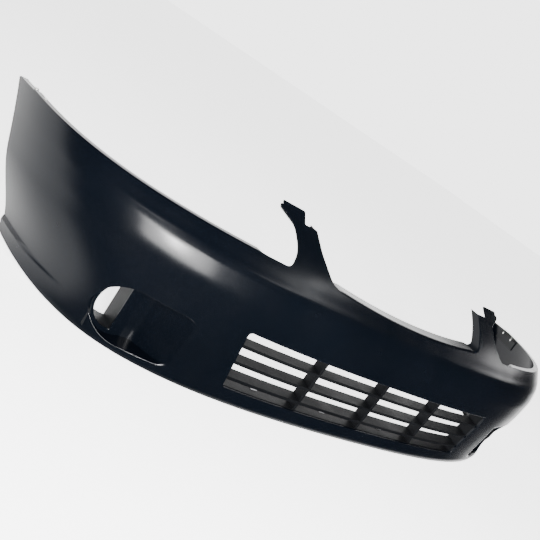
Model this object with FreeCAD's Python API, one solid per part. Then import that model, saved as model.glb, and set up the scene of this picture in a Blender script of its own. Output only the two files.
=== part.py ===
import FreeCAD, Part
import math
import os

# Front bumper cover of a compact saloon, with the small parts that it carries.
# X runs across the car, Y runs from the nose back along the wings, Z is up.
# The car's front faces -Y. Lengths are in millimetres.
# The origin is under the middle of the cover, on the plane that its lower edge stands on.

Vector = FreeCAD.Vector
os.makedirs("parts", exist_ok=True)

# Main surface. Each level is a plan curve: nose set-back and half width at that height.
BACK_Y = 600.0
LEVELS = (-51.0, 17.0, 144.0, 212.0, 253.0, 286.0, 373.0)
SET_BACK = (59.0, 7.0, 5.8, 5.2, 15.0, 44.0, 171.0)
WIDTH_LEVELS = (-51.0, 17.0, 183.0, 281.0, 359.0)
HALF_WIDTH = (784.0, 777.0, 825.0, 830.0, 832.0)
FRONT_FULLNESS = 0.745
SIDE_FULLNESS = 0.128
WING_FLARE = 38.0
SPAN_STEPS = 22
LEVEL_STEPS = 22
LOW_Z = -60.0
HIGH_Z = 400.0
SEW = 0.001
CENTRE_Y = 260.04

# Moulding
WALL = 3.0
MID = 1.5
RIB = 2.5
FIT_GAP = 0.3

# Outline of the moulding
TOP_Z = 299.5
SILL_Z = 288.0
SILL_HALF = 240.0
SILL_END_Z = 298.5
FLAT_HALF = 600.0
FAR_X = 920.0
ARCH_R = 340.0
ARCH_Y = 728.0
ARCH_Z = 27.0
TIP_Y = 515.0

# Lower air opening and its grille
OPEN_LOW_Z = 34.8
OPEN_TOP_Z = 167.5
OPEN_LOW_HALF = 379.0
OPEN_TOP_HALF = 401.0
OPEN_R = 9.0
DUCT_DEPTH = 42.0
GRILLE_FRONT = 4.0
GRILLE_BACK = 40.0
SLAT_Z = (58.0, 94.0, 132.0)
SLAT_T = 7.0
BAR_PITCH = 192.0
BAR_T = 7.0
CLIP_X = (96.0, 288.0)
CLIP_W = 16.0
CLIP_T = 1.2

# Fog lamp pockets
POCKET_IN = 482.0
POCKET_FLOOR = 132.0
POCKET_STEP = 4.0
HOLE_IN = 596.0
HOLE_OUT = 652.0
HOLE_LOW = 24.0
HOLE_TOP = 131.0
HOLE_MID = 77.0
RING_BACK = 187.0

# Flanges
LEDGE_DEPTH = 17.0
LEDGE_T = 3.0
ARCH_FLANGE = 21.0
SILL_DEPTH = 36.0
SILL_DROP = 1.2
SHELF_LOW = 27.0
HORN_FLANGE = 32.0
SILL_HOLES = (-190.0, -75.0, 75.0, 190.0)
SILL_HOLE_R = 3.5
TAB_HOLE_R = 4.0
ARCH_HOLES = (125.0, 215.0)
ARCH_HOLE_R = 3.2
WING_SCREWS = (400.0, 446.0)
WING_HOLE_R = 2.6


def slopes(levels, values):
    """Slopes of a smooth curve that never overshoots its points."""
    count = len(levels)
    steps = [levels[i + 1] - levels[i] for i in range(count - 1)]
    grades = [(values[i + 1] - values[i]) / steps[i] for i in range(count - 1)]
    result = [grades[0]] + [0.0] * (count - 2) + [grades[-1]]
    for i in range(1, count - 1):
        if grades[i - 1] * grades[i] > 0.0:
            w1 = 2.0 * steps[i] + steps[i - 1]
            w2 = steps[i] + 2.0 * steps[i - 1]
            result[i] = (w1 + w2) / (w1 / grades[i - 1] + w2 / grades[i])
    return result


SET_SLOPES = slopes(LEVELS, SET_BACK)
WIDTH_SLOPES = slopes(WIDTH_LEVELS, HALF_WIDTH)


def along(z, levels, values, grades):
    """Value at height z, straight beyond the first and last level."""
    if z <= levels[0]:
        return values[0] + grades[0] * (z - levels[0])
    if z >= levels[-1]:
        return values[-1] + grades[-1] * (z - levels[-1])
    i = max(k for k in range(len(levels) - 1) if levels[k] <= z)
    h = levels[i + 1] - levels[i]
    t = (z - levels[i]) / h
    a = (1.0 + 2.0 * t) * (1.0 - t) ** 2 * values[i]
    b = t * (1.0 - t) ** 2 * h * grades[i]
    c = t * t * (3.0 - 2.0 * t) * values[i + 1]
    d = t * t * (t - 1.0) * h * grades[i + 1]
    return a + b + c + d


def plan_point(s, z):
    """Outer surface at height z: s is 0 on the centre line and 1 at the back of a wing."""
    front = along(z, LEVELS, SET_BACK, SET_SLOPES)
    half = along(z, WIDTH_LEVELS, HALF_WIDTH, WIDTH_SLOPES)
    side = front + SIDE_FULLNESS * (BACK_Y - front)
    r = 1.0 - s
    x = 3.0 * s * r * r * FRONT_FULLNESS * half + 3.0 * s * s * r * half
    x = x + s ** 3 * (half + WING_FLARE)
    y = (r ** 3 + 3.0 * s * r * r) * front + 3.0 * s * s * r * side + s ** 3 * BACK_Y
    return x, y


def surface_x(y, z):
    """Half width of the outer surface at this y and z."""
    low = 0.0
    high = 1.0
    for _ in range(40):
        middle = (low + high) / 2.0
        if plan_point(middle, z)[1] < y:
            low = middle
        else:
            high = middle
    return plan_point(low, z)[0]


def surface_y(x, z):
    """Set-back of the outer surface at this half width and height."""
    low = 0.0
    high = 1.0
    for _ in range(40):
        middle = (low + high) / 2.0
        if plan_point(middle, z)[0] < abs(x):
            low = middle
        else:
            high = middle
    return plan_point(low, z)[1]


def offset_point(s, z, depth):
    """Point this deep under the outer surface, moved level, with its direction along the plan."""
    e = 0.001
    x, y = plan_point(s, z)
    after = plan_point(s + e, z)
    before = plan_point(s - e, z)
    above = plan_point(s, z + e)
    below = plan_point(s, z - e)
    along_plan = Vector(after[0] - before[0], after[1] - before[1], 0.0)
    along_rise = Vector(above[0] - below[0], above[1] - below[1], 2.0 * e)
    normal = along_plan.cross(along_rise)
    normal.normalize()
    level = normal.x ** 2 + normal.y ** 2
    step = depth / level
    along_plan.normalize()
    return Vector(x - normal.x * step, y - normal.y * step, z), along_plan


def block(depth, margin=0.0):
    """Everything behind the outer surface offset inwards by depth, as one closed solid."""
    z_low = LOW_Z - margin
    z_high = HIGH_Z + margin
    y_back = BACK_Y + margin
    rows = []
    for i in range(-SPAN_STEPS, SPAN_STEPS + 1):
        s = abs(i) / SPAN_STEPS
        row = []
        for j in range(LEVEL_STEPS + 1):
            z = z_low + (z_high - z_low) * j / LEVEL_STEPS
            point, direction = offset_point(s, z, depth)
            if abs(i) == SPAN_STEPS:
                point = point + direction * ((y_back - point.y) / direction.y)
            row.append(Vector(math.copysign(1.0, i) * point.x, point.y, z))
        if i == 0:
            row = [Vector(0.0, p.y, p.z) for p in row]
        rows.append(row)
    surface = Part.BSplineSurface()
    surface.interpolate(rows)
    skin = surface.toShape()

    def rim(test):
        return [e for e in skin.Edges if all(test(v.Point) for v in e.Vertexes)][0]

    top = rim(lambda p: abs(p.z - z_high) < 0.01)
    low = rim(lambda p: abs(p.z - z_low) < 0.01)
    left = rim(lambda p: p.x < -100.0)
    right = rim(lambda p: p.x > 100.0)
    top_line = Part.makeLine(top.Vertexes[0].Point, top.Vertexes[-1].Point)
    low_line = Part.makeLine(low.Vertexes[0].Point, low.Vertexes[-1].Point)
    caps = [
        Part.Face(Part.Wire([top, top_line])),
        Part.Face(Part.Wire([low, low_line])),
        Part.Face(Part.Wire([left, top_line, right, low_line])),
    ]
    shell = Part.Shell([skin] + caps)
    shell.sewShape()
    shell.fix(SEW, SEW, SEW)
    return Part.makeSolid(shell)


def path(points, radii):
    """Edges of an open path with rounded corners. The two ends have no corner."""
    edges = []
    start = points[0]
    for i in range(1, len(points) - 1):
        corner = points[i]
        back = (points[i - 1] - corner).normalize()
        ahead = (points[i + 1] - corner).normalize()
        radius = radii[i]
        half = back.getAngle(ahead) / 2.0
        if radius <= 0.0 or half > math.pi / 2.0 - 0.01:
            edges.append(Part.makeLine(start, corner))
            start = corner
            continue
        run = radius / math.tan(half)
        first = corner + back * run
        last = corner + ahead * run
        middle_way = (back + ahead).normalize()
        middle = corner + middle_way * (radius / math.sin(half) - radius)
        if (first - start).Length > 0.001:
            edges.append(Part.makeLine(start, first))
        edges.append(Part.Arc(first, middle, last).toShape())
        start = last
    edges.append(Part.makeLine(start, points[-1]))
    return edges


def loop(points, radii):
    """Closed wire with rounded corners."""
    count = len(points)
    middle = (points[0] + points[-1]) * 0.5
    ring = [middle] + list(points) + [middle]
    sizes = [0.0] + list(radii) + [0.0]
    assert count == len(radii)
    return Part.Wire(path(ring, sizes))


def through(wire):
    """Prism along Y of a wire drawn in the plane y = 0."""
    face = Part.Face(wire)
    face.translate(Vector(0.0, -60.0, 0.0))
    return face.extrude(Vector(0.0, 740.0, 0.0))


def slab(x0, x1, y0, y1, z0, z1):
    return Part.makeBox(x1 - x0, y1 - y0, z1 - z0, Vector(x0, y0, z0))


def mirrored(shape):
    return shape.mirror(Vector(0.0, 0.0, 0.0), Vector(1.0, 0.0, 0.0))


def both(shape):
    return [shape, mirrored(shape)]


def front_v(x, z):
    return Vector(x, 0.0, z)


def outline():
    """Front outline of the whole moulding, with a horn on each side of the upper opening."""
    points = [
        front_v(SILL_HALF, SILL_END_Z), front_v(262.0, 306.0), front_v(286.0, 338.0),
        front_v(297.0, 366.0), front_v(329.0, 366.0), front_v(327.0, 385.0),
        front_v(386.0, 385.0), front_v(386.0, 371.0), front_v(355.0, 357.0),
        front_v(348.0, 328.0), front_v(368.0, TOP_Z), front_v(FAR_X, TOP_Z),
        front_v(FAR_X, 90.0),
    ]
    radii = [0.0, 30.0, 60.0, 3.0, 2.0, 3.0, 3.0, 6.0, 16.0, 30.0, 24.0, 0.0, 0.0]
    right = path(points, radii)
    lower = Part.BSplineCurve()
    lower.interpolate(
        [front_v(FAR_X, 90.0), front_v(790.0, 29.0), front_v(757.0, 19.0),
         front_v(708.0, 8.5), front_v(FLAT_HALF, 0.0)],
        Tangents=[Vector(-1.0, 0.0, -0.5), Vector(-0.9, 0.0, -0.3), Vector(-0.9, 0.0, -0.22),
                  Vector(-0.95, 0.0, -0.15), Vector(-1.0, 0.0, 0.0)],
        TangentFlags=[False, False, False, False, True])
    right.append(lower.toShape())
    left = [mirrored(e) for e in right]
    sill = Part.Arc(front_v(-SILL_HALF, SILL_END_Z), front_v(0.0, SILL_Z),
                    front_v(SILL_HALF, SILL_END_Z)).toShape()
    floor = Part.makeLine(front_v(-FLAT_HALF, 0.0), front_v(FLAT_HALF, 0.0))
    ordered = Part.sortEdges(right + left + [sill, floor])[0]
    return Part.Wire(ordered)


def arch_cylinder(radius):
    """Wheel arch: a cylinder across the car."""
    return Part.makeCylinder(radius, 2.0 * FAR_X, Vector(-FAR_X, ARCH_Y, ARCH_Z),
                             Vector(1.0, 0.0, 0.0))


def opening_wire(grow):
    low = OPEN_LOW_Z - grow
    top = OPEN_TOP_Z + grow
    points = [front_v(-OPEN_LOW_HALF - grow, low), front_v(OPEN_LOW_HALF + grow, low),
              front_v(OPEN_TOP_HALF + grow, top), front_v(-OPEN_TOP_HALF - grow, top)]
    return loop(points, [OPEN_R + grow] * 4)


def shifted(shape, depth):
    copy = shape.copy()
    copy.translate(Vector(0.0, depth, 0.0))
    return copy


def pocket_wire(grow):
    """D shape of a fog lamp pocket: straight top, round outer end."""
    edges = path([front_v(580.0, 15.0 - grow), front_v(POCKET_IN - grow, 24.0 - grow),
                  front_v(POCKET_IN - grow, 141.0 + grow), front_v(598.0, 141.0 + grow)],
                 [0.0, 16.0 + grow, 12.0 + grow, 0.0])
    end = Part.Arc(front_v(598.0, 141.0 + grow), front_v(659.0 + grow, 76.0),
                   front_v(580.0, 15.0 - grow)).toShape()
    return Part.Wire(Part.sortEdges(edges + [end])[0])


def pocket_front(step):
    """Everything in front of the pocket's ramp and floor, moved back by step."""
    points = [Vector(430.0, -40.0, -20.0), Vector(430.0, 20.0 + step, -20.0),
              Vector(476.0, 43.0 + step, -20.0), Vector(548.0, POCKET_FLOOR + step, -20.0),
              Vector(700.0, POCKET_FLOOR + step, -20.0), Vector(700.0, -40.0, -20.0)]
    wire = loop(points, [0.0, 0.0, 40.0, 14.0, 0.0, 0.0])
    return Part.Face(wire).extrude(Vector(0.0, 0.0, 220.0))


def lamp_hole(grow):
    """Lamp opening: straight inner edge, round outer edge."""
    inner = HOLE_IN - grow
    edge = Part.makeLine(front_v(inner, HOLE_LOW - grow), front_v(inner, HOLE_TOP + grow))
    end = Part.Arc(front_v(inner, HOLE_TOP + grow), front_v(HOLE_OUT + grow, HOLE_MID),
                   front_v(inner, HOLE_LOW - grow)).toShape()
    return Part.Wire([edge, end])


def pocket(middle):
    """Pocket walls, ramp and floor of the +X side, with the lamp opening through the floor."""
    body = through(pocket_wire(WALL)).common(pocket_front(POCKET_STEP))
    room = through(pocket_wire(0.0)).common(pocket_front(0.0))
    walls = body.cut(room).common(middle)
    return walls.cut(through(lamp_hole(0.0)))


def horn_flange(middle, rear):
    """Return flange down the grille side of the +X horn, with its slot."""
    points = [front_v(250.0, 299.0), front_v(262.0, 306.0), front_v(286.0, 338.0),
              front_v(297.0, 366.0), front_v(300.5, 364.5), front_v(289.5, 336.5),
              front_v(265.0, 303.5), front_v(253.0, 296.0)]
    wire = loop(points, [0.0] * 8)
    strip = through(wire).common(middle).cut(rear)
    y = surface_y(280.0, 328.0)
    slot = slab(262.0, 300.0, y + 12.0, y + 22.0, 322.0, 336.0)
    return strip.cut(slot)


def arch_place(z, radius):
    """Point on the arch flange of the +X wing, and the direction to the wheel centre."""
    y = ARCH_Y - math.sqrt(radius ** 2 - (z - ARCH_Z) ** 2)
    inwards = Vector(0.0, ARCH_Y - y, ARCH_Z - z).normalize()
    return Vector(surface_x(y, z) - 12.0, y, z), inwards


def fascia(outer, middle, inner):
    """The painted moulding: skin, horns, pockets, duct, shelves and flanges."""
    keep = through(outline())
    wheel = arch_cylinder(ARCH_R)
    tail = slab(-FAR_X, FAR_X, TIP_Y, BACK_Y + 60.0, -80.0, 420.0)
    skin = outer.cut(inner).common(keep).cut(wheel).cut(tail)
    skin = skin.cut(through(opening_wire(0.0)))
    skin = skin.cut(Part.makeCompound(both(through(pocket_wire(0.0)))))

    extras = both(pocket(middle))

    duct = through(opening_wire(RIB)).cut(through(opening_wire(0.0)))
    extras.append(duct.common(middle).cut(shifted(outer, DUCT_DEPTH)))

    ledge_room = middle.cut(block(LEDGE_DEPTH, 20.0))
    ledge = slab(372.0, FAR_X, -20.0, TIP_Y, TOP_Z - LEDGE_T, TOP_Z).common(ledge_room)
    ledge = ledge.cut(wheel)
    for y in WING_SCREWS:
        x = surface_x(y, TOP_Z) - 11.0
        ledge = ledge.cut(Part.makeCylinder(WING_HOLE_R, 20.0, Vector(x, y, TOP_Z - 10.0)))
    extras += both(ledge)

    foot = slab(-FLAT_HALF, FLAT_HALF, -20.0, 300.0, 0.0, WALL).common(ledge_room)
    extras.append(foot)

    arch_ring = arch_cylinder(ARCH_R + WALL).cut(wheel)
    arch_zone = slab(600.0, FAR_X, 370.0, TIP_Y, 30.0, TOP_Z - 1.0)
    flange = arch_ring.common(arch_zone).common(middle).cut(block(ARCH_FLANGE, 20.0))
    for z in ARCH_HOLES:
        point, inwards = arch_place(z, ARCH_R)
        flange = flange.cut(Part.makeCylinder(ARCH_HOLE_R, 30.0, point - inwards * 15.0, inwards))
    extras += both(flange)

    rear = shifted(outer, SILL_DEPTH)
    reach = SILL_HALF + 2.0
    low = [front_v(-reach, SILL_END_Z - SILL_DROP - WALL), front_v(0.0, SILL_Z - SILL_DROP - WALL),
           front_v(reach, SILL_END_Z - SILL_DROP - WALL)]
    top = [front_v(-reach, SILL_END_Z - SILL_DROP), front_v(0.0, SILL_Z - SILL_DROP),
           front_v(reach, SILL_END_Z - SILL_DROP)]
    sides = [Part.makeLine(low[0], top[0]), Part.makeLine(low[2], top[2])]
    sill_wire = Part.Wire(Part.sortEdges(
        [Part.Arc(*low).toShape(), Part.Arc(*top).toShape()] + sides)[0])
    sill = through(sill_wire).common(middle).cut(rear)
    for x in SILL_HOLES:
        y = surface_y(x, SILL_Z) + 20.0
        sill = sill.cut(Part.makeCylinder(SILL_HOLE_R, 60.0, Vector(x, y, SILL_Z - 30.0)))
    extras.append(sill)

    horn_rear = shifted(outer, HORN_FLANGE)
    extras += both(horn_flange(middle, horn_rear))

    shelf_points = [
        Vector(-380.0, -20.0, 0.0), Vector(-380.0, 92.0, 0.0), Vector(-300.0, 86.0, 0.0),
        Vector(-270.0, 34.0, 0.0), Vector(-96.0, 30.0, 0.0), Vector(-62.0, 78.0, 0.0),
        Vector(62.0, 78.0, 0.0), Vector(96.0, 30.0, 0.0), Vector(270.0, 34.0, 0.0),
        Vector(300.0, 86.0, 0.0), Vector(380.0, 92.0, 0.0), Vector(380.0, -20.0, 0.0)]
    shelf_radii = [0.0, 12.0, 14.0, 12.0, 12.0, 10.0, 10.0, 12.0, 12.0, 14.0, 12.0, 0.0]
    shelf = Part.Face(loop(shelf_points, shelf_radii)).extrude(Vector(0.0, 0.0, WALL))
    shelf.translate(Vector(0.0, 0.0, SHELF_LOW))
    shelf = shelf.common(middle)
    shelf = shelf.cut(Part.makeCylinder(TAB_HOLE_R, 20.0, Vector(0.0, 46.0, SHELF_LOW - 5.0)))
    extras.append(shelf)

    whole = skin
    for piece in extras:
        whole = whole.fuse(piece)
    return whole


def lower_grille(outer):
    """Grille moulding: a thin frame, three slats and three uprights."""
    room = shifted(outer, GRILLE_FRONT).cut(shifted(outer, GRILLE_BACK))
    inside = through(opening_wire(-FIT_GAP))
    frame = inside.cut(through(opening_wire(-FIT_GAP - RIB)))
    pieces = []
    for z in SLAT_Z:
        pieces.append(slab(-420.0, 420.0, -40.0, 200.0, z - SLAT_T / 2.0, z + SLAT_T / 2.0))
    for i in (-1, 0, 1):
        x = i * BAR_PITCH
        pieces.append(slab(x - BAR_T / 2.0, x + BAR_T / 2.0, -40.0, 200.0, 20.0, 180.0))
    lattice = pieces[0].multiFuse(pieces[1:]).common(inside)
    return frame.fuse(lattice).common(room)


def edge_clip(x, wall_z, up):
    """Spring clip pushed over the back edges of the duct wall and the grille frame."""
    stack = RIB + FIT_GAP + RIB
    y = surface_y(x, wall_z) + DUCT_DEPTH
    outside = slab(x - CLIP_W / 2.0, x + CLIP_W / 2.0, y - 12.0, y + 4.2,
                   -CLIP_T, stack + CLIP_T)
    channel = slab(x - CLIP_W, x + CLIP_W, y - 20.0, y + 3.0, 0.0, stack)
    clip = outside.cut(channel)
    if up:
        clip.translate(Vector(0.0, 0.0, wall_z - FIT_GAP - RIB))
    else:
        clip.translate(Vector(0.0, 0.0, wall_z - RIB))
    return clip


def edge_clips(wall_z, up):
    found = []
    for x in CLIP_X:
        found += [edge_clip(-x, wall_z, up), edge_clip(x, wall_z, up)]
    return Part.makeCompound(found)


def fog_bracket():
    """Lamp bracket of the +X side: a plate behind the pocket floor with a rear cradle."""
    face = POCKET_FLOOR + POCKET_STEP + FIT_GAP
    plate_wire = loop([front_v(572.0, 12.0), front_v(650.0, 12.0), front_v(650.0, 143.0),
                       front_v(572.0, 143.0)], [8.0] * 4)
    plate = Part.Face(plate_wire).extrude(Vector(0.0, 3.0, 0.0))
    plate.translate(Vector(0.0, face, 0.0))
    sleeve = Part.Face(lamp_hole(3.0)).extrude(Vector(0.0, RING_BACK - face, 0.0))
    sleeve = sleeve.cut(Part.Face(lamp_hole(0.5)).extrude(Vector(0.0, 300.0, 0.0)))
    sleeve.translate(Vector(0.0, face, 0.0))
    window = slab(598.5, 700.0, face + 16.0, 300.0, 58.0, 200.0)
    lower_cut = slab(540.0, 700.0, face + 34.0, 300.0, 100.0, 200.0)
    body = plate.fuse(sleeve.cut(window).cut(lower_cut))
    body = body.cut(Part.Face(lamp_hole(0.5)).extrude(Vector(0.0, 300.0, 0.0)))
    for x, z in bracket_screw_places():
        body = body.cut(Part.makeCylinder(2.0, 300.0, Vector(x, 0.0, z), Vector(0.0, 1.0, 0.0)))
    return body


def bracket_screw_places():
    return [(582.0, 24.0), (582.0, 131.0), (582.0, 77.0)]


def pan_screw(radius, length, head_r, head_h):
    """Screw pointing along -Z with its head above z = 0."""
    shank = Part.makeCylinder(radius, length, Vector(0.0, 0.0, -length))
    head = Part.makeCylinder(head_r, head_h)
    head = head.makeFillet(head_h * 0.45, [e for e in head.Edges
                                           if e.BoundBox.ZMin > head_h - 0.01])
    drive = slab(-head_r * 0.45, head_r * 0.45, -0.6, 0.6, head_h * 0.4, head_h + 1.0)
    cross = slab(-0.6, 0.6, -head_r * 0.45, head_r * 0.45, head_h * 0.4, head_h + 1.0)
    return shank.fuse(head).cut(drive).cut(cross)


def fog_screws():
    found = []
    for x, z in bracket_screw_places():
        screw = pan_screw(1.8, 6.4, 4.2, 2.6)
        screw.rotate(Vector(0.0, 0.0, 0.0), Vector(1.0, 0.0, 0.0), -90.0)
        screw.translate(Vector(x, POCKET_FLOOR + POCKET_STEP + FIT_GAP + 3.0, z))
        found.append(screw)
    return Part.makeCompound(found)


def wing_bracket():
    """Angle bracket inside the +X wing, under its top ledge."""
    under = TOP_Z - LEDGE_T - FIT_GAP
    inside = block(WALL + FIT_GAP, 10.0)
    leg = inside.cut(block(WALL + FIT_GAP + RIB, 20.0))
    leg = leg.common(slab(600.0, FAR_X, 378.0, 468.0, 262.0, under))
    shelf = inside.cut(block(LEDGE_DEPTH + 4.0, 20.0))
    shelf = shelf.common(slab(600.0, FAR_X, 378.0, 468.0, under - RIB, under))
    body = leg.fuse(shelf)
    for y in WING_SCREWS:
        x = surface_x(y, TOP_Z) - 11.0
        body = body.cut(Part.makeCylinder(2.0, 20.0, Vector(x, y, under - 10.0)))
    return body


def wing_screws():
    found = []
    for y in WING_SCREWS:
        screw = pan_screw(1.8, 14.0, 4.5, 2.6)
        screw.translate(Vector(surface_x(y, TOP_Z) - 11.0, y, TOP_Z))
        found.append(screw)
    return Part.makeCompound(found)


def arch_nuts():
    """Nut plates behind the arch flange of the +X wing."""
    found = []
    for z in ARCH_HOLES:
        point, inwards = arch_place(z, ARCH_R)
        point = point - inwards * (WALL + FIT_GAP)
        plate = slab(-6.0, 6.0, -7.0, 7.0, 0.0, 1.6)
        barrel = Part.makeCylinder(3.6, 6.0)
        nut = plate.fuse(barrel).cut(Part.makeCylinder(2.2, 20.0, Vector(0.0, 0.0, -5.0)))
        turn = FreeCAD.Rotation(Vector(0.0, 0.0, 1.0), inwards * -1.0)
        nut.Placement = FreeCAD.Placement(point, turn)
        found.append(nut)
    return Part.makeCompound(found)


def save(name, shape):
    shape.translate(Vector(0.0, -CENTRE_Y, 0.0))
    solids = shape.Solids
    result = solids[0] if len(solids) == 1 else Part.makeCompound(solids)
    box = result.BoundBox
    print(name, len(solids), result.isValid(), round(result.Volume, 1),
          [round(v, 2) for v in (box.XMin, box.XMax, box.YMin, box.YMax, box.ZMin, box.ZMax)])
    result.exportStep("parts/" + name + ".step")


def main():
    outer = block(0.0)
    middle = block(MID, 10.0)
    inner = block(WALL, 20.0)
    save("bumper_fascia", fascia(outer, middle, inner))
    save("lower_grille", lower_grille(outer))
    save("grille_clips_upper", edge_clips(OPEN_TOP_Z, True))
    save("grille_clips_lower", edge_clips(OPEN_LOW_Z, False))
    sided = (
        ("fog_lamp_bracket", fog_bracket()),
        ("fog_bracket_screws", fog_screws()),
        ("wing_bracket", wing_bracket()),
        ("wing_bracket_screws", wing_screws()),
        ("arch_liner_nuts", arch_nuts()),
    )
    for name, shape in sided:
        save(name + "_left", shape.copy())
        save(name + "_right", mirrored(shape))


main()
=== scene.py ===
import math

import bpy
import numpy as np
from mathutils import Matrix, Vector
from mathutils.geometry import delaunay_2d_cdt


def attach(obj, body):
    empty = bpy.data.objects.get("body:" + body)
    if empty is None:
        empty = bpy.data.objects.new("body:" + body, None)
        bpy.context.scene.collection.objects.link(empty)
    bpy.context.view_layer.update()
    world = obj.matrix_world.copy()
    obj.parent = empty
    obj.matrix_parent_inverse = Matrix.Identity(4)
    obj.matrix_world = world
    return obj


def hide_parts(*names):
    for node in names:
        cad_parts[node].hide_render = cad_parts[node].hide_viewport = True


# Looks of the bumper cover. Lengths below are in millimetres in the cover's own frame, with Y
# counted from the nose; MM and CENTRE_Y take them to the CAD frame in metres.
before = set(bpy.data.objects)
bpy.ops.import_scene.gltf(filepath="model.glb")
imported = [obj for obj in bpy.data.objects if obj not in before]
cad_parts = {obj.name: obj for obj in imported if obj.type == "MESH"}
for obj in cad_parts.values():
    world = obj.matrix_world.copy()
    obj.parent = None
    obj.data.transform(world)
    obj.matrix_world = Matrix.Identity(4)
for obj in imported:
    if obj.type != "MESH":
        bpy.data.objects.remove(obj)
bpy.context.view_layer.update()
ROOT = "root"
MM = 0.001
CENTRE_Y = 260.04

BACK_Y = 600.0
LEVELS = np.array((-51.0, 17.0, 144.0, 212.0, 253.0, 286.0, 373.0))
SET_BACK = np.array((59.0, 7.0, 5.8, 5.2, 15.0, 44.0, 171.0))
WIDTH_LEVELS = np.array((-51.0, 17.0, 183.0, 281.0, 359.0))
HALF_WIDTH = np.array((784.0, 777.0, 825.0, 830.0, 832.0))
FRONT_FULLNESS = 0.745
SIDE_FULLNESS = 0.128
WING_FLARE = 38.0
WALL = 3.0
DOMAIN = 1000.0
TOP_Z = 299.5
SILL_Z = 288.0
SILL_HALF = 240.0
SILL_END_Z = 298.5
ARCH_R, ARCH_Y, ARCH_Z = 340.0, 728.0, 27.0
TIP_Y, TIP_Z = 515.0, 292.0
OPEN_LOW_Z, OPEN_TOP_Z = 34.8, 167.5
OPEN_LOW_HALF, OPEN_TOP_HALF = 379.0, 401.0
POCKET_FLOOR = 132.0
LOW_EDGE = 1.6
# fog lamp pocket and its lamp opening, as (x, z) of the +X side
POCKET_LOW, POCKET_FAR, POCKET_TOP = (580.0, 15.0), (659.0, 76.0), (598.0, 141.0)
POCKET_IN_LOW, POCKET_IN_TOP = (482.0, 24.0), (482.0, 141.0)
HOLE_LOW, HOLE_FAR, HOLE_TOP = (596.0, 24.0), (651.0, 77.0), (596.0, 131.0)
# grille
SLAT_Z = (58.0, 94.0, 132.0)
SLAT_SIZE = (34.0, 7.0)
BAR_X = (-192.0, 0.0, 192.0)
BAR_SIZE = (7.0, 30.0)
RAMP_GRADE = 1.33


# ---------------------------------------------------------------- surface
def slopes(levels, values):
    steps = np.diff(levels)
    grades = np.diff(values) / steps
    result = np.zeros(len(levels))
    result[0], result[-1] = grades[0], grades[-1]
    for i in range(1, len(levels) - 1):
        if grades[i - 1] * grades[i] > 0.0:
            w1 = 2.0 * steps[i] + steps[i - 1]
            w2 = steps[i] + 2.0 * steps[i - 1]
            result[i] = (w1 + w2) / (w1 / grades[i - 1] + w2 / grades[i])
    return result


SET_SLOPES = slopes(LEVELS, SET_BACK)
WIDTH_SLOPES = slopes(WIDTH_LEVELS, HALF_WIDTH)


def along(z, levels, values, grades):
    """Smooth curve through the levels, straight beyond both ends."""
    z = np.asarray(z, float)
    i = np.clip(np.searchsorted(levels, z, side="right") - 1, 0, len(levels) - 2)
    h = levels[i + 1] - levels[i]
    t = np.clip((z - levels[i]) / h, 0.0, 1.0)
    value = ((1 + 2 * t) * (1 - t) ** 2 * values[i] + t * (1 - t) ** 2 * h * grades[i]
             + t * t * (3 - 2 * t) * values[i + 1] + t * t * (t - 1) * h * grades[i + 1])
    value = value + np.minimum(z - levels[0], 0.0) * grades[0]
    return value + np.maximum(z - levels[-1], 0.0) * grades[-1]


def plan(s, z):
    """Outer surface: s is 0 on the centre line and 1 at the back of a wing."""
    front = along(z, LEVELS, SET_BACK, SET_SLOPES)
    half = along(z, WIDTH_LEVELS, HALF_WIDTH, WIDTH_SLOPES)
    side = front + SIDE_FULLNESS * (BACK_Y - front)
    r = 1.0 - s
    x = 3 * s * r * r * FRONT_FULLNESS * half + 3 * s * s * r * half + s ** 3 * (half + WING_FLARE)
    y = (r ** 3 + 3 * s * r * r) * front + 3 * s * s * r * side + s ** 3 * BACK_Y
    return x, y


def solve(value, z, axis):
    """s of the point of the surface with this x (axis 0) or y (axis 1) at height z."""
    value, z = np.broadcast_arrays(np.asarray(value, float), np.asarray(z, float))
    low, high = np.zeros(value.shape), np.ones(value.shape)
    for _ in range(44):
        middle = (low + high) / 2.0
        short = plan(middle, z)[axis] < value
        low, high = np.where(short, middle, low), np.where(short, high, middle)
    return (low + high) / 2.0


def smooth(a, b, v):
    t = np.clip((v - a) / (b - a), 0.0, 1.0)
    return t * t * (3 - 2 * t)


# how far the crease and the skirt stand out
RIDGE = 0.8
SKIRT = 5.5


def relief(s, z):
    """How far the styling lines stand out: a crease high on the nose, a proud skirt at the arch."""
    ridge_z = 269.5 + 14.0 * np.clip(s - 0.3, 0.0, 1.0)
    ridge = RIDGE * np.exp(-((z - ridge_z) / 4.0) ** 2) * (1.0 - smooth(0.42, 0.72, s))
    skirt_z = 52.0 + 8.0 * (s - 0.64)
    skirt = SKIRT * smooth(0.62, 0.80, s) * smooth(-1.6, 1.6, skirt_z - z)
    return ridge + skirt


def base_point(s, z):
    a = np.abs(s)
    x, y = plan(a, z)
    return np.stack([np.where(s < 0, -x, x), y, z + 0.0 * x], -1)


def cross_unit(a, b):
    c = np.cross(a, b)
    return c / np.maximum(np.linalg.norm(c, axis=-1, keepdims=True), 1e-12)


def unit(v):
    return v / np.maximum(np.linalg.norm(v, axis=-1, keepdims=True), 1e-12)


def base_normal(s, z):
    ds, dz = 2e-4, 0.05
    du = base_point(s + ds, z) - base_point(s - ds, z)
    dv = base_point(s, z + dz) - base_point(s, z - dz)
    return cross_unit(du, dv)


def skin_point(uv):
    s, z = uv[:, 0] / DOMAIN, uv[:, 1]
    return base_point(s, z) + base_normal(s, z) * relief(np.abs(s), z)[:, None]


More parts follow.
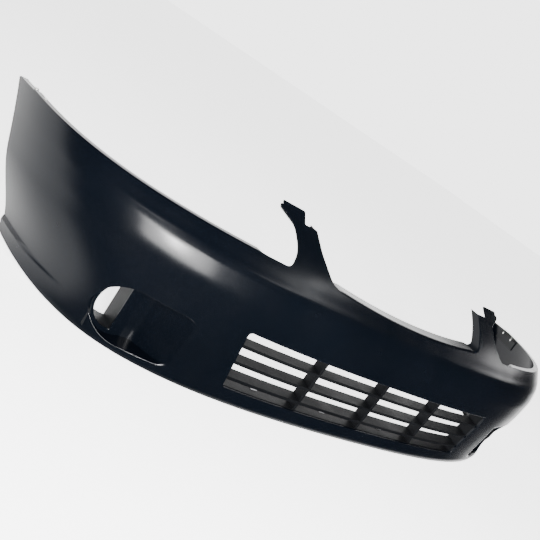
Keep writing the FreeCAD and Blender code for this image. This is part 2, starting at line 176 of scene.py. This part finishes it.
def skin_normal(uv):
    du, dz = np.array([[0.25, 0.0]]), np.array([[0.0, 0.3]])
    return cross_unit(skin_point(uv + du) - skin_point(uv - du),
                      skin_point(uv + dz) - skin_point(uv - dz))


# ---------------------------------------------------------------- outlines
def rounded(points, radii, steps=6):
    """Open polyline with rounded corners."""
    points = [np.array(p, float) for p in points]
    out = [points[0]]
    for i in range(1, len(points) - 1):
        p, r = points[i], radii[i]
        a, b = unit(points[i - 1] - p), unit(points[i + 1] - p)
        half = math.acos(float(np.clip(np.dot(a, b), -1, 1))) / 2.0
        if r <= 0.0 or half > math.pi / 2 - 0.01:
            out.append(p)
            continue
        run = r / math.tan(half)
        centre = p + unit(a + b) * (r / math.sin(half))
        first, last = p + a * run - centre, p + b * run - centre
        start = math.atan2(first[1], first[0])
        turn = math.atan2(last[1], last[0]) - start
        turn = (turn + math.pi) % (2 * math.pi) - math.pi
        for k in range(steps + 1):
            q = start + turn * k / steps
            out.append(centre + r * np.array([math.cos(q), math.sin(q)]))
    out.append(points[-1])
    return np.array(out)


def closed(points, radii, steps=6):
    middle = (np.array(points[0], float) + np.array(points[-1], float)) / 2.0
    return rounded([middle] + list(points) + [middle], [0] + list(radii) + [0], steps)[:-1]


def finer(points, step, loop=False):
    """Adds points on long runs."""
    points = np.asarray(points, float)
    ends = np.roll(points, -1, 0) if loop else points[1:]
    out = []
    for a, b in zip(points if loop else points[:-1], ends):
        n = max(1, int(math.ceil(np.linalg.norm(b - a) / step)))
        out += [a + (b - a) * k / n for k in range(n)]
    if not loop:
        out.append(points[-1])
    out = np.array(out)
    gap = np.linalg.norm(out - np.roll(out, 1, 0), axis=1) > 0.05
    return out[gap] if loop else out[np.r_[True, gap[1:]]]


def signed_area(p):
    q = np.roll(p, -1, 0)
    return 0.5 * float(np.sum(p[:, 0] * q[:, 1] - q[:, 0] * p[:, 1]))


def inside(points, poly):
    result = np.zeros(len(points), bool)
    q = np.roll(poly, -1, 0)
    for a, b in zip(poly, q):
        hit = (a[1] > points[:, 1]) != (b[1] > points[:, 1])
        if abs(b[1] - a[1]) > 1e-12:
            x = a[0] + (points[:, 1] - a[1]) * (b[0] - a[0]) / (b[1] - a[1])
            result ^= hit & (points[:, 0] < x)
    return result


def triangulate(loops, step, ratio=(1.0, 1.0)):
    """Triangles inside the first loop and outside the others. Returns points, faces, loop indices."""
    scale = np.array(ratio)
    loops = [l * scale for l in loops]
    low, high = loops[0].min(0), loops[0].max(0)
    nx = int((high[0] - low[0]) / step) + 1
    ny = int((high[1] - low[1]) / step) + 1
    gx, gy = np.meshgrid(np.linspace(low[0], high[0], nx + 1), np.linspace(low[1], high[1], ny + 1))
    grid = np.stack([gx.ravel(), gy.ravel()], -1)
    keep = inside(grid, loops[0])
    for hole in loops[1:]:
        keep &= ~inside(grid, hole)
    grid = grid[keep]
    border = np.concatenate(loops)
    near = np.zeros(len(grid), bool)
    for k in range(0, len(border), 64):
        d = grid[:, None, :] - border[None, k:k + 64, :]
        near |= (np.einsum("ijk,ijk->ij", d, d) < (0.5 * step) ** 2).any(1)
    grid = grid[~near]
    points = np.concatenate([border, grid])
    edges, start = [], 0
    for l in loops:
        n = len(l)
        edges += [(start + i, start + (i + 1) % n) for i in range(n)]
        start += n
    out = delaunay_2d_cdt([Vector(p) for p in points.tolist()], edges, [], 0, 1e-5)
    verts = np.array([tuple(v) for v in out[0]])
    faces = np.array([f for f in out[2] if len(f) == 3])
    found = {}
    for new, olds in enumerate(out[3]):
        for old in olds:
            found[old] = new
    centre = verts[faces].mean(1)
    keep = inside(centre, loops[0])
    for hole in loops[1:]:
        keep &= ~inside(centre, hole)
    faces = faces[keep]
    a, b, c = verts[faces[:, 0]], verts[faces[:, 1]], verts[faces[:, 2]]
    area = (b - a)[:, 0] * (c - a)[:, 1] - (b - a)[:, 1] * (c - a)[:, 0]
    faces = faces[np.abs(area) > 1e-7]
    area = area[np.abs(area) > 1e-7]
    faces[area < 0] = faces[area < 0][:, ::-1]
    index, start = [], 0
    for l in loops:
        index.append(np.array([found[start + i] for i in range(len(l))]))
        start += len(l)
    return verts / scale, faces, index


class Mesher:
    """Collects points, faces and normals in millimetres, and makes one mesh object of them."""

    def __init__(self):
        self.points, self.normals, self.faces, self.count = [], [], [], 0

    def add(self, points, normals):
        first = self.count
        self.points.append(np.asarray(points, float))
        self.normals.append(np.asarray(normals, float))
        self.count += len(points)
        return first + np.arange(len(points))

    def strip(self, a, b, loop=True):
        n = len(a)
        last = n if loop else n - 1
        for i in range(last):
            j = (i + 1) % n
            self.faces.append((int(a[i]), int(a[j]), int(b[j]), int(b[i])))

    def make(self, name, material):
        points = np.concatenate(self.points)
        points[:, 1] = np.minimum(points[:, 1], TIP_Y)
        points[:, 2] = np.maximum(points[:, 2], 0.0)
        points = (points - np.array([0.0, CENTRE_Y, 0.0])) * MM
        mesh = bpy.data.meshes.new(name)
        mesh.from_pydata(points.tolist(), [], self.faces)
        mesh.validate()
        mesh.shade_smooth()
        mesh.normals_split_custom_set_from_vertices(unit(np.concatenate(self.normals)).tolist())
        mesh.materials.append(material)
        piece = bpy.data.objects.new(name, mesh)
        bpy.context.scene.collection.objects.link(piece)
        return piece


# rows of a rolled edge, and the chamfer on a flange's end
ROLL = 5
CHAMFER = 0.6


def rim(m, ring, p, n, o, inner, radius, depth, way, thick):
    """Rolls the edge of a sheet over and runs it on as a flange. ring and inner are vertex rows."""
    radius, depth, thick = [np.broadcast_to(np.asarray(v, float), (len(p),))[:, None]
                            for v in (radius, depth, thick)]
    back = -unit(o - way * np.sum(o * way, -1, keepdims=True))
    rows = [ring]
    for k in range(1, ROLL):
        t = k / (ROLL - 1)
        q = p * (1 - t) ** 2 + 2 * t * (1 - t) * (p + o * radius)
        q = q + t * t * (p + o * radius + way * radius)
        rows.append(m.add(q, unit((1 - t) * n + t * -back)))
    end = p + o * radius + way * radius
    run = np.maximum(depth - radius, 0.8)
    rows.append(m.add(end + way * (run - CHAMFER), -back))
    rows.append(m.add(end + way * run + back * CHAMFER, way))
    rows.append(m.add(end + way * run + back * (thick - CHAMFER), way))
    rows.append(m.add(end + way * (run - CHAMFER) + back * thick, back))
    rows.append(m.add(end + back * thick + way * 0.1, back))
    rows.append(inner)
    for a, b in zip(rows[:-1], rows[1:]):
        m.strip(b, a)


def loop_frame(p, n):
    """Direction out of the sheet's edge. Sheets lie left of their loops."""
    t = unit(np.roll(p, -1, 0) - np.roll(p, 1, 0))
    return unit(np.cross(t, n))


def blur(v, times=3):
    for _ in range(times):
        v = (np.roll(v, 1, 0) + v + np.roll(v, -1, 0)) / 3.0
    return v


# ---------------------------------------------------------------- fascia
def horn_path():
    """From the headlamp edge over the horn to the sill of the upper opening, +X side."""
    return rounded(
        [(430.0, TOP_Z), (368.0, TOP_Z), (348.0, 328.0), (355.0, 357.0), (385.0, 370.0),
         (391.5, 373.5), (390.5, 378.0), (384.0, 378.5), (384.5, 384.5), (327.0, 384.5),
         (329.0, 366.0), (297.0, 366.0), (286.0, 338.0), (262.0, 306.0), (SILL_HALF, SILL_END_Z)],
        [0, 24, 30, 16, 3, 1.5, 1.2, 1.0, 2.0, 3.0, 2.0, 3.0, 60, 30, 0], 7)


def half_outline(step):
    """Right half of the outline in (s, z), from the bottom centre round to the top centre."""
    rows = []

    def put(s, z, kind):
        for a, b in zip(np.atleast_1d(s), np.atleast_1d(z)):
            rows.append((a * DOMAIN, b, kind))

    x = np.linspace(0.0, 786.0, int(786 / step))
    z = along(x, np.array((540.0, 600.0, 708.0, 757.0, 790.0)), np.array((LOW_EDGE, 1.9, 8.5, 19.0, 29.0)),
              np.array((0.0, 0.02, 0.14, 0.26, 0.33)))
    z = np.where(x < 540.0, LOW_EDGE, z)
    put(solve(x, z, 0), z, 0)
    z = np.linspace(30.5, TIP_Z, int(290 / step))
    y = ARCH_Y - np.sqrt(ARCH_R ** 2 - (z - ARCH_Z) ** 2)
    put(solve(y, z, 1), z, 1)
    y = np.linspace(TIP_Y - 4.0, 432.0, int(80 / step))
    put(solve(y, TIP_Z + 1.0 + (TIP_Y - y) * 0.06, 1), TIP_Z + 1.0 + (TIP_Y - y) * 0.06, 2)
    x0 = float(plan(solve(429.0, TOP_Z, 1), TOP_Z)[0])
    x = np.linspace(x0, 432.0, int((x0 - 430) / step))
    put(solve(x, np.full(len(x), TOP_Z), 0), np.full(len(x), TOP_Z), 2)
    horn = finer(horn_path(), step)
    s = solve(horn[:, 0], horn[:, 1], 0)
    for a, (hx, hz) in zip(s, horn):
        kind = 4 if (hx < 299.0 and hz < 365.5) else 3
        rows.append((a * DOMAIN, hz, kind))
    x = np.linspace(SILL_HALF, 0.0, int(SILL_HALF / step))[1:]
    sag = SILL_END_Z - SILL_Z
    z = SILL_Z + sag * (x / SILL_HALF) ** 2
    put(solve(x, z, 0), z, 5)
    return np.array(rows)


# radius of the rolled edge, depth of the flange and its thickness, for each kind of edge:
# 0 lower edge, 1 arch, 2 headlamp edge, 3 horn, 4 grille side of the horn, 5 sill of the upper grille
EDGE = {0: (1.6, 14.0, 2.6), 1: (2.0, 20.0, 2.6), 2: (1.6, 15.0, 2.6),
        3: (0.9, 3.0, 1.4), 4: (3.0, 32.0, 2.6), 5: (6.0, 37.0, 2.8)}


def pocket_loop(step):
    """Edge of the D-shaped fog lamp pocket in (x, z), +X side, from the ramp end round."""
    points = closed([POCKET_LOW, POCKET_IN_LOW, POCKET_IN_TOP, POCKET_TOP], [0, 16, 12, 0], 6)
    a, m, b = np.array(POCKET_TOP), np.array(POCKET_FAR), np.array(POCKET_LOW)
    arc = circle_arc(a, m, b, 34)
    first = np.linalg.norm(points - b, axis=1).argmin()
    points = np.roll(points, -first, 0)
    last = np.linalg.norm(points - a, axis=1).argmin()
    ring = np.concatenate([points[:last + 1], arc[1:-1]])
    return finer(ring, step, True)


def circle_arc(a, m, b, steps):
    """Points of the circle arc from a through m to b."""
    ax, ay, bx, by = m[0] - a[0], m[1] - a[1], b[0] - a[0], b[1] - a[1]
    d = 2 * (ax * by - ay * bx)
    ux = (by * (ax * ax + ay * ay) - ay * (bx * bx + by * by)) / d
    uy = (ax * (bx * bx + by * by) - bx * (ax * ax + ay * ay)) / d
    c = a + np.array((ux, uy))
    r = math.hypot(ux, uy)
    t0 = math.atan2(*(a - c)[::-1])
    t1 = math.atan2(*(m - c)[::-1])
    t2 = math.atan2(*(b - c)[::-1])
    turn = (t2 - t0) % (2 * math.pi)
    if (t1 - t0) % (2 * math.pi) > turn:
        turn -= 2 * math.pi
    q = t0 + turn * np.linspace(0, 1, steps + 1)
    return c + r * np.stack([np.cos(q), np.sin(q)], -1)


def floor_y(x):
    """Pocket ramp and floor: set-back at this half width."""
    return np.interp(x, (430.0, 482.0, 496.0, 548.0, 556.0, 572.0, 700.0),
                     (30.0, 42.0, 55.0, 124.0, 129.0, POCKET_FLOOR, POCKET_FLOOR))


def orient(loop, ccw):
    return loop if (signed_area(loop) > 0) == ccw else loop[::-1]


def build_pocket(m, side, ring, p, n, o, inner):
    """Walls and floor of one pocket. ring is the row of skin vertices round its edge."""
    way = np.tile((0.0, 1.0, 0.0), (len(p), 1))
    flat = unit(o * np.array((1.0, 0.0, 1.0)))
    ax = np.abs(p[:, 0])
    soft = 1.0 - smooth(484.0, 520.0, ax)
    radius = (1.6 + 9.0 * soft)[:, None]
    soft = soft[:, None]
    facet = np.stack([RAMP_GRADE * np.sign(p[:, 0]), -np.ones(len(p)), np.zeros(len(p))], -1)
    turned = unit(flat * (1.0 - soft) + unit(facet) * soft)
    rows = [ring]
    for k in range(1, ROLL + 1):
        t = k / ROLL
        q = p * (1 - t) ** 2 + 2 * t * (1 - t) * (p + flat * radius) \
            + t * t * (p + flat * radius + way * radius)
        rows.append(m.add(q, unit((1 - t) * n + t * turned)))
    end = p + flat * radius + way * radius
    bottom = np.maximum(floor_y(np.abs(end[:, 0])), end[:, 1] + 0.4)
    deep = end + flat * 0.6
    deep[:, 1] = bottom
    rows.append(m.add(deep, turned))
    for a, b in zip(rows[:-1], rows[1:]):
        m.strip(b, a)
    low, far, top = np.array(HOLE_LOW), np.array(HOLE_FAR), np.array(HOLE_TOP)
    edge = np.stack([np.full(18, low[0]), np.linspace(low[1], top[1], 18)], -1)
    hole = np.concatenate([edge, circle_arc(top, far, low, 30)[1:-1]])
    hole[:, 0] *= side
    outer = orient(deep[:, (0, 2)], True)
    hole = orient(hole, False)
    verts, faces, index = triangulate([outer, hole], 6.0)
    y = np.maximum(floor_y(np.abs(verts[:, 0])), 0.0)
    level = {tuple(np.round(q, 3)): v for q, v in zip(deep[:, (0, 2)], bottom)}
    for i, q in zip(index[0], outer):
        y[i] = level[tuple(np.round(q, 3))]
    front = np.stack([verts[:, 0], y, verts[:, 1]], -1)
    e = 0.5
    grade = (floor_y(np.abs(verts[:, 0]) + e) - floor_y(np.abs(verts[:, 0]) - e)) / (2 * e)
    nf = unit(np.stack([grade * np.sign(verts[:, 0]), -np.ones(len(verts)), 0 * grade], -1))
    a = m.add(front, nf)
    b = m.add(front - nf * WALL, -nf)
    m.faces += [tuple(int(v) for v in a[f]) for f in faces]
    m.faces += [tuple(int(v) for v in b[f][::-1]) for f in faces]
    hp, hn = front[index[1]], nf[index[1]]
    ho = loop_frame(hp, hn)
    rim(m, a[index[1]], hp, hn, ho, b[index[1]], 0.9, 2.9, np.tile((0.0, 1.0, 0.0), (len(hp), 1)), 1.0)
    outside = end - flat * (WALL - 0.5)
    low = outside.copy()
    low[:, 1] = bottom + WALL
    r1 = m.add(outside, -flat)
    r2 = m.add(low, -flat)
    r3 = m.add(low, way)
    edge = deep.copy()
    edge[:, 1] = bottom + WALL
    r4 = m.add(edge, way)
    m.strip(inner, r1)
    m.strip(r1, r2)
    m.strip(r3, r4)


def build_fascia(material):
    step = 5.0
    half = half_outline(step)
    left = half[::-1].copy()
    left[:, 0] *= -1
    rows = np.concatenate([half, left[1:-1]])
    gap = np.linalg.norm((rows - np.roll(rows, 1, 0))[:, :2], axis=1) > 0.15
    rows = rows[gap]
    outer, kind = rows[:, :2], rows[:, 2].astype(int)
    assert signed_area(outer) > 0
    opening = finer(closed([(-OPEN_LOW_HALF, OPEN_LOW_Z), (OPEN_LOW_HALF, OPEN_LOW_Z),
                            (OPEN_TOP_HALF, OPEN_TOP_Z), (-OPEN_TOP_HALF, OPEN_TOP_Z)],
                           [9, 9, 9, 9], 6), step, True)
    pockets = [pocket_loop(4.0), pocket_loop(4.0) * np.array((-1.0, 1.0))]
    holes_xz = [orient(opening, False)] + [orient(q, False) for q in pockets]
    holes = []
    for q in holes_xz:
        s = solve(np.abs(q[:, 0]), q[:, 1], 0) * np.sign(q[:, 0])
        holes.append(np.stack([s * DOMAIN, q[:, 1]], -1))
    verts, faces, index = triangulate([outer] + holes, 5.0, (1.2, 1.0))
    m = Mesher()
    p, n = skin_point(verts), skin_normal(verts)
    a = m.add(p, n)
    b = m.add(p - n * WALL, -n)
    m.faces += [tuple(int(v) for v in a[f]) for f in faces]
    m.faces += [tuple(int(v) for v in b[f][::-1]) for f in faces]

    i = index[0]
    o = loop_frame(p[i], n[i])
    level = unit(-n[i] * np.array((1.0, 1.0, 0.0)))
    straight = np.tile((0.0, 1.0, 0.0), (len(i), 1))
    plain = -n[i]
    way = np.where((kind == 3)[:, None], plain, level)
    way = np.where(np.isin(kind, (4, 5))[:, None], straight, way)
    size = np.array([EDGE[k] for k in kind])
    way = unit(blur(way, 4))
    size = np.stack([blur(size[:, c], 4) for c in range(3)], -1)
    rim(m, a[i], p[i], n[i], o, b[i], size[:, 0], size[:, 1], way, size[:, 2])

    i = index[1]
    o = loop_frame(p[i], n[i])
    flat = unit(o * np.array((1.0, 0.0, 1.0)))
    rim(m, a[i], p[i], n[i], flat, b[i], 2.2, 42.0, np.tile((0.0, 1.0, 0.0), (len(i), 1)), 4.0)
    for k, side in ((2, 1.0), (3, -1.0)):
        i = index[k]
        build_pocket(m, side, a[i], p[i], n[i], loop_frame(p[i], n[i]), b[i])
    lower_shelf(m)
    return m.make("fascia_skin", material)


def lower_shelf(m):
    """Level shelf behind the lower edge of the air opening, with notches and a holed tab."""
    rear = rounded([(-378.0, 60.0), (-378.0, 92.0), (-300.0, 86.0), (-270.0, 34.0), (-96.0, 30.0),
                    (-62.0, 78.0), (62.0, 78.0), (96.0, 30.0), (270.0, 34.0), (300.0, 86.0),
                    (378.0, 92.0), (378.0, 60.0)],
                   [0, 12, 14, 12, 12, 10, 10, 12, 12, 14, 12, 0], 6)
    x = np.linspace(378.0, -378.0, 120)
    y = plan(solve(np.abs(x), np.full(len(x), 29.0), 0), np.full(len(x), 29.0))[1] + 1.5
    loop = finer(np.concatenate([rear, np.stack([x, y], -1)]), 6.0, True)
    q = np.linspace(0, 2 * math.pi, 25)[:-1]
    hole = np.stack([4.0 * np.cos(q), 46.0 + 4.0 * np.sin(q)], -1)
    verts, faces, index = triangulate([orient(loop, True), orient(hole, False)], 8.0)
    up = np.tile((0.0, 0.0, 1.0), (len(verts), 1))
    top = np.stack([verts[:, 0], verts[:, 1], np.full(len(verts), 30.0)], -1)
    a = m.add(top, up)
    b = m.add(top - up * WALL, -up)
    m.faces += [tuple(int(v) for v in a[f]) for f in faces]
    m.faces += [tuple(int(v) for v in b[f][::-1]) for f in faces]
    for i in index:
        p, n = top[i], up[i]
        rim(m, a[i], p, n, loop_frame(p, n), b[i], 0.6, 2.9, -n, 0.8)


# ---------------------------------------------------------------- grille
def surface_y(x, z):
    return plan(solve(np.abs(x), z, 0), z)[1]


def tube(m, sections):
    """Skin over closed cross-sections (count, points, 3), capped at both ends, smooth round it."""
    n, k, _ = sections.shape
    along_way = unit(np.gradient(sections.mean(1), axis=0))
    across = np.roll(sections, -1, 1) - np.roll(sections, 1, 1)
    normals = unit(np.cross(across, along_way[:, None, :]))
    rows = [m.add(sections[i], normals[i]) for i in range(n)]
    for a, b in zip(rows[:-1], rows[1:]):
        m.strip(a, b)
    first = m.add(sections[0], np.tile(-along_way[0], (k, 1)))
    last = m.add(sections[-1], np.tile(along_way[-1], (k, 1)))
    m.faces.append(tuple(int(v) for v in first[::-1]))
    m.faces.append(tuple(int(v) for v in last))


def box_profile(w, h, r):
    """Rounded rectangle with corners split so that its flats stay flat, as (u, v) pairs."""
    out = []
    for cx, cy, start in ((w / 2 - r, h / 2 - r, 0), (-w / 2 + r, h / 2 - r, 90),
                          (-w / 2 + r, -h / 2 + r, 180), (w / 2 - r, -h / 2 + r, 270)):
        for k in range(4):
            q = math.radians(start + 30 * k)
            out.append((cx + r * math.cos(q), cy + r * math.sin(q)))
    return np.array(out)


def build_grille(material):
    m = Mesher()
    profile = box_profile(*SLAT_SIZE, 1.0)
    for z in SLAT_Z:
        reach = np.interp(z, (OPEN_LOW_Z, OPEN_TOP_Z), (OPEN_LOW_HALF, OPEN_TOP_HALF)) - 1.5
        x = np.linspace(-reach, reach, 130)
        y = surface_y(x, np.full(len(x), z)) + 22.0
        tilt = np.radians(3.0)
        u, v = profile[:, 0], profile[:, 1]
        sections = np.stack([
            np.tile(x[:, None], (1, len(u))),
            y[:, None] + (u * math.cos(tilt) - v * math.sin(tilt))[None],
            z + np.tile((v * math.cos(tilt) + u * math.sin(tilt))[None], (len(x), 1))], -1)
        tube(m, sections)
    post = box_profile(*BAR_SIZE, 1.0)
    for x0 in BAR_X:
        z = np.linspace(OPEN_LOW_Z + 1.0, OPEN_TOP_Z - 1.0, 24)
        y = surface_y(np.full(len(z), x0), z) + 23.0
        sections = np.stack([x0 + np.tile(post[:, 0][None], (len(z), 1)),
                             y[:, None] + post[:, 1][None],
                             np.tile(z[:, None], (1, len(post)))], -1)
        tube(m, sections[:, ::-1])
    ring = closed([(-OPEN_LOW_HALF + 2.5, OPEN_LOW_Z + 2.5), (OPEN_LOW_HALF - 2.5, OPEN_LOW_Z + 2.5),
                   (OPEN_TOP_HALF - 2.5, OPEN_TOP_Z - 2.5), (-OPEN_TOP_HALF + 2.5, OPEN_TOP_Z - 2.5)],
                  [7, 7, 7, 7], 6)
    ring = finer(ring, 6.0, True)
    ring = orient(ring, False)
    y = surface_y(ring[:, 0], ring[:, 1])
    p = np.stack([ring[:, 0], y + 6.0, ring[:, 1]], -1)
    n = np.tile((0.0, -1.0, 0.0), (len(p), 1))
    o = loop_frame(p, n)
    a = m.add(p, n)
    b = m.add(p + np.array((0.0, 3.0, 0.0)), -n)
    rim(m, a, p, n, o, b, 0.8, 34.0, -n, 2.4)
    return m.make("grille_moulding", material)


# ---------------------------------------------------------------- materials
def nodes_of(name):
    material = bpy.data.materials.new(name)
    material.use_nodes = True
    tree = material.node_tree
    shader = tree.nodes["Principled BSDF"]
    return material, tree, shader


def link(tree, a, b):
    tree.links.new(a, b)


def noise(tree, scale, detail):
    coord = tree.nodes.new("ShaderNodeTexCoord")
    node = tree.nodes.new("ShaderNodeTexNoise")
    node.inputs["Scale"].default_value = scale
    node.inputs["Detail"].default_value = detail
    link(tree, coord.outputs["Object"], node.inputs["Vector"])
    return node


def ramp(tree, source, stops):
    node = tree.nodes.new("ShaderNodeValToRGB")
    link(tree, source, node.inputs["Fac"])
    elements = node.color_ramp.elements
    while len(elements) < len(stops):
        elements.new(0.5)
    for element, (place, value) in zip(elements, stops):
        element.position = place
        element.color = (*value, 1.0) if isinstance(value, tuple) else (value, value, value, 1.0)
    return node.outputs["Color"]


def plastic(name, dark, light, rough_low, rough_high, grain, bump, specular):
    """Moulded plastic: slow colour drift, patchy gloss and fine grain."""
    material, tree, shader = nodes_of(name)
    drift = noise(tree, 3.0, 3.0)
    colour = ramp(tree, drift.outputs["Fac"], [(0.35, dark), (0.7, light)])
    link(tree, colour, shader.inputs["Base Color"])
    patch = noise(tree, 14.0, 4.0)
    link(tree, ramp(tree, patch.outputs["Fac"], [(0.3, rough_low), (0.75, rough_high)]),
         shader.inputs["Roughness"])
    fine = noise(tree, grain, 2.0)
    bumper = tree.nodes.new("ShaderNodeBump")
    bumper.inputs["Strength"].default_value = bump
    bumper.inputs["Distance"].default_value = 0.0004
    link(tree, fine.outputs["Fac"], bumper.inputs["Height"])
    link(tree, bumper.outputs["Normal"], shader.inputs["Normal"])
    shader.inputs["IOR"].default_value = 1.5
    shader.inputs["Specular IOR Level"].default_value = specular
    return material


def steel(name, dark, light, rough_low, rough_high, grain):
    material, tree, shader = nodes_of(name)
    shader.inputs["Metallic"].default_value = 1.0
    drift = noise(tree, 90.0, 5.0)
    link(tree, ramp(tree, drift.outputs["Fac"], [(0.3, dark), (0.7, light)]),
         shader.inputs["Base Color"])
    patch = noise(tree, 240.0, 4.0)
    link(tree, ramp(tree, patch.outputs["Fac"], [(0.3, rough_low), (0.7, rough_high)]),
         shader.inputs["Roughness"])
    bumper = tree.nodes.new("ShaderNodeBump")
    bumper.inputs["Strength"].default_value = 0.25
    bumper.inputs["Distance"].default_value = 0.0002
    fine = noise(tree, grain, 2.0)
    link(tree, fine.outputs["Fac"], bumper.inputs["Height"])
    link(tree, bumper.outputs["Normal"], shader.inputs["Normal"])
    return material


FASCIA = plastic("fascia_black", (0.0006, 0.0010, 0.0018), (0.0010, 0.0015, 0.0026), 0.19, 0.28,
                 420.0, 0.008, specular=0.16)
GRILLE = plastic("grille_black", (0.0010, 0.0012, 0.0015), (0.0026, 0.0028, 0.0033), 0.42, 0.6, 900.0, 0.5,
                 specular=0.05)
BRACKET = plastic("bracket_black", (0.002, 0.0024, 0.003), (0.005, 0.0055, 0.006), 0.35, 0.55, 700.0, 0.3,
                  specular=0.1)
SPRING = steel("spring_steel", (0.25, 0.25, 0.26), (0.42, 0.42, 0.43), 0.3, 0.5, 800.0)
ZINC = steel("zinc_steel", (0.5, 0.5, 0.48), (0.66, 0.66, 0.63), 0.25, 0.45, 900.0)

fascia = build_fascia(FASCIA)
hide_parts("bumper_fascia")
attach(fascia, ROOT)
grille = build_grille(GRILLE)
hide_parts("lower_grille")
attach(grille, ROOT)

KEPT = {"fog_lamp_bracket": BRACKET, "wing_bracket": BRACKET, "fog_bracket_screws": ZINC,
        "wing_bracket_screws": ZINC, "arch_liner_nuts": SPRING, "grille_clips": SPRING}
for node_name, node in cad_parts.items():
    for start, material in KEPT.items():
        if node_name.rsplit("_", 1)[0] == start:
            for place in node.material_slots:
                place.material = material

# ---------------------------------------------------------------- stage, camera and light
AZIMUTH, ELEVATION, ROLL_DEG = -37.341, 14.583, 7.788 + 27.0
DISTANCE, FOCAL = 1494.75, 1361.826
TARGET = np.array((-279.862, 243.75 - CENTRE_Y, 223.216))


def camera_axes(az, el, roll):
    az, el, roll = (math.radians(v) for v in (az, el, roll))
    away = -np.array((math.sin(az) * math.cos(el), -math.cos(az) * math.cos(el), math.sin(el)))
    right = unit(np.cross(away, (0.0, 0.0, 1.0)))
    up = np.cross(right, away)
    c, s = math.cos(roll), math.sin(roll)
    return c * right + s * up, -s * right + c * up, away


right, up, away = camera_axes(AZIMUTH, ELEVATION, ROLL_DEG)
camera_data = bpy.data.cameras.new("camera")
camera = bpy.data.objects.new("camera", camera_data)
bpy.context.scene.collection.objects.link(camera)
camera_data.sensor_width = 36.0
camera_data.lens = FOCAL / 1080.0 * 36.0
camera_data.clip_end = 60.0
spot = (TARGET - DISTANCE * away) * MM
turn = Matrix([[right[i], up[i], -away[i], spot[i]] for i in range(3)] + [[0, 0, 0, 1]])
camera.matrix_world = turn
bpy.context.scene.camera = camera

FLOOR_GLOW = 2.6
SKY_GLOW = 3.6
floor_mesh = bpy.data.meshes.new("floor")
floor_mesh.from_pydata([(-30, -30, 0), (30, -30, 0), (30, 30, 0), (-30, 30, 0)], [], [(0, 1, 2, 3)])
floor = bpy.data.objects.new("floor", floor_mesh)
bpy.context.scene.collection.objects.link(floor)
floor_material, floor_tree, floor_shader = nodes_of("floor_pale")
floor_shader.inputs["Base Color"].default_value = (0.8, 0.8, 0.8, 1.0)
floor_shader.inputs["Roughness"].default_value = 0.9
floor_shader.inputs["Specular IOR Level"].default_value = 0.1
floor_shader.inputs["Emission Color"].default_value = (1.0, 1.0, 1.0, 1.0)
floor_shader.inputs["Emission Strength"].default_value = FLOOR_GLOW
floor_mesh.materials.append(floor_material)
floor.visible_glossy = False

world = bpy.data.worlds.new("world")
world.use_nodes = True
sky = world.node_tree
sky_coord = sky.nodes.new("ShaderNodeTexCoord")
sky_axes = sky.nodes.new("ShaderNodeSeparateXYZ")
link(sky, sky_coord.outputs["Generated"], sky_axes.inputs["Vector"])
sky_tilt = sky.nodes.new("ShaderNodeMath")
sky_tilt.operation = "MULTIPLY_ADD"
sky_tilt.inputs[1].default_value = -0.6
link(sky, sky_axes.outputs["Z"], sky_tilt.inputs[0])
link(sky, sky_axes.outputs["Y"], sky_tilt.inputs[2])
sky_shade = ramp(sky, sky_tilt.outputs[0], [(0.12, 0.012), (0.36, 1.0)])
link(sky, sky_shade, sky.nodes["Background"].inputs["Color"])
sky.nodes["Background"].inputs["Strength"].default_value = SKY_GLOW
bpy.context.scene.world = world


def area_light(name, place, aim, size, power):
    data = bpy.data.lights.new(name, "AREA")
    data.shape = "RECTANGLE"
    data.size, data.size_y = size
    data.energy = power
    lamp = bpy.data.objects.new(name, data)
    bpy.context.scene.collection.objects.link(lamp)
    lamp.location = place
    lamp.rotation_euler = (Vector(aim) - Vector(place)).to_track_quat("-Z", "Y").to_euler()
    return lamp


area_light("corner", (-1.45, -2.50, 1.04), (-0.62, -0.17, 0.24), (1.9, 1.6), 420.0)
area_light("spot", (-1.40, -2.42, 0.98), (-0.62, -0.17, 0.24), (0.4, 0.4), 190.0)
area_light("ridge", (0.9, -0.9, 2.2), (-0.3, -0.2, 0.28), (1.4, 0.25), 9.0)
area_light("far", (2.6, -0.1, 1.4), (0.4, -0.18, 0.29), (0.5, 0.4), 5.0)
